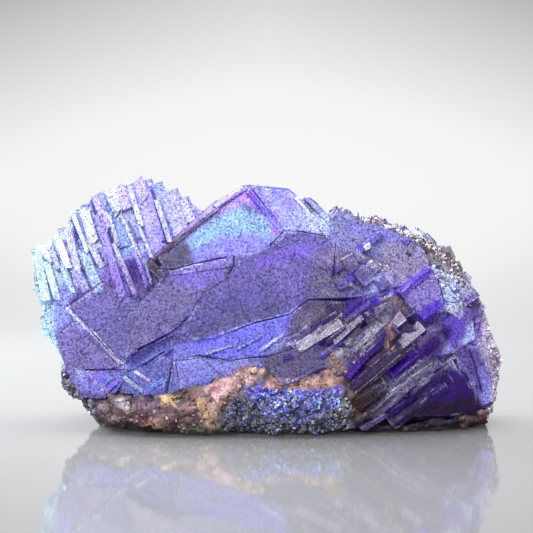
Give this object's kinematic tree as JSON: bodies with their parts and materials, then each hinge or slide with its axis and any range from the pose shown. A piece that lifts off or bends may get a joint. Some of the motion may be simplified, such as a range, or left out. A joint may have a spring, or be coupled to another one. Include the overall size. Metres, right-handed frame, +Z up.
{
  "type": "fluorite crystal cluster on crust",
  "caption": "Violet and blue fluorite cubes grown together in terraces, with a comb of thin plates, standing on a rough brown crust with a flat underside.",
  "frame": {"origin": "middle of the specimen's box, at the height of the flat underside", "axes": "+Z up, +X along the specimen's length, to the right when its show side faces the viewer, and -Y out of the show side"},
  "size_m": [0.0956, 0.0378, 0.0509],
  "materials": {
    "fluorite": "frosted translucent crystal, violet with blue and lavender zones",
    "crust": "rough iron-stained rock with drusy patches"
  },
  "bodies": {
    "root": {"fluorite_cluster": "fluorite", "matrix_crust": "crust"}
  },
  "joints": []
}
